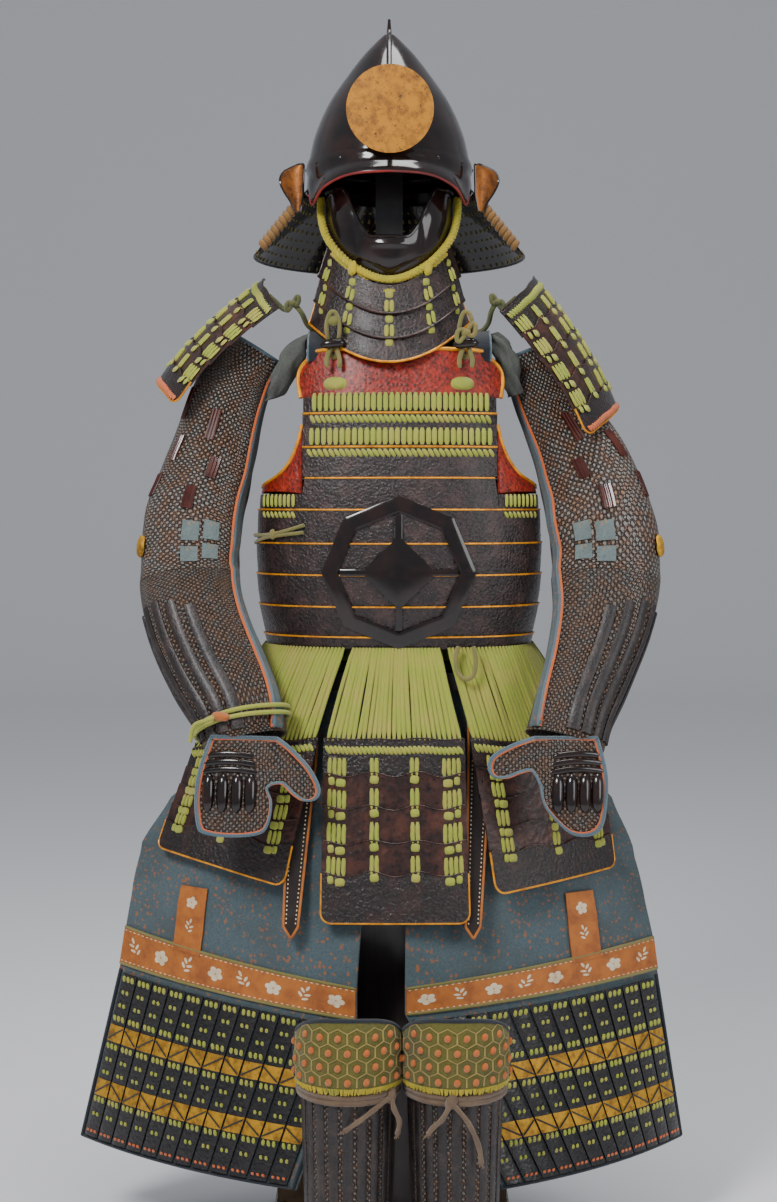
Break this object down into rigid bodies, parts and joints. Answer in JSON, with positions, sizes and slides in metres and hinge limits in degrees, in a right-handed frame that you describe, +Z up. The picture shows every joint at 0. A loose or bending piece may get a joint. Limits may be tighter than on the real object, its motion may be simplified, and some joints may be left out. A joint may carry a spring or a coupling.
{
  "type": "samurai armour on a chest and stand",
  "caption": "full samurai armour displayed on a lacquered chest and post: pointed helmet, half mask, laced cuirass and skirt, mail sleeves, thigh and shin guards",
  "frame": {"origin": "on the floor under the chest, on the part's front-to-back centre plane", "axes": "+Z up, -Y the way the armour faces, +X towards the right as seen in the picture"},
  "size_m": [0.8726, 0.5198, 1.7225],
  "materials": {
    "black_lacquer": "very glossy black-brown lacquer",
    "brown_lacquer": "crinkled dark brown lacquer over leather and iron",
    "red_lacquer": "crinkled bright red lacquer",
    "gilt": "aged gold leaf with dark specks",
    "green_lace": "flat braided yellow-green silk",
    "gold_cord": "round braided yellow-green cord",
    "tan_cord": "twisted tan cord",
    "blue_cloth": "faded blue weave with rust speckles",
    "orange_leather": "orange-brown printed leather",
    "mail_cloth": "iron mail and splints over blue cloth",
    "brocade": "olive brocade with gold hexagons",
    "hemp": "brown-grey hemp",
    "chest_wood": "dark red-brown lacquered wood",
    "stand_wood": "plain black painted wood"
  },
  "bodies": {
    "root": {"stand_chest": "chest_wood", "stand_frame": "stand_wood", "helmet_bowl": "black_lacquer", "helmet_band": "black_lacquer", "helmet_disc": "gilt", "neck_guard": "black_lacquer", "face_mask": "black_lacquer", "chin_cord": "gold_cord", "cuirass_front": "brown_lacquer", "cuirass_back": "brown_lacquer", "chest_lame": "brown_lacquer", "chest_plate": "red_lacquer", "chest_lacing_upper": "green_lace", "chest_lacing_lower": "green_lace", "lacquer_ornament": "black_lacquer", "waist_lacing": "green_lace", "thigh_belt": "blue_cloth", "wrist_cord": "green_lace", "throat_lame_1": "brown_lacquer", "throat_lame_2": "brown_lacquer", "throat_lame_3": "brown_lacquer", "tasset_front": "brown_lacquer", "tasset_front_left": "brown_lacquer", "tasset_front_right": "brown_lacquer", "tasset_side_left": "brown_lacquer", "tasset_side_right": "brown_lacquer", "tasset_back_left": "brown_lacquer", "tasset_back_right": "brown_lacquer", "turnback_left": "gilt", "neck_guard_lacing_left": "tan_cord", "side_plate_left": "red_lacquer", "shoulder_strap_left": "brown_lacquer", "shoulder_guard_left": "brown_lacquer", "sleeve_left": "mail_cloth", "forearm_left": "mail_cloth", "hand_guard_left": "black_lacquer", "thigh_cloth_left": "blue_cloth", "thigh_band_left": "orange_leather", "thigh_plates_left": "black_lacquer", "shin_guard_left": "mail_cloth", "knee_cap_left": "brocade", "shin_tie_left": "hemp", "toggle_cord_left": "green_lace", "shoulder_knot_left": "green_lace", "turnback_right": "gilt", "neck_guard_lacing_right": "tan_cord", "side_plate_right": "red_lacquer", "shoulder_strap_right": "brown_lacquer", "shoulder_guard_right": "brown_lacquer", "sleeve_right": "mail_cloth", "forearm_right": "mail_cloth", "hand_guard_right": "black_lacquer", "thigh_cloth_right": "blue_cloth", "thigh_band_right": "orange_leather", "thigh_plates_right": "black_lacquer", "shin_guard_right": "mail_cloth", "knee_cap_right": "brocade", "shin_tie_right": "hemp", "toggle_cord_right": "green_lace", "shoulder_knot_right": "green_lace"}
  },
  "joints": []
}
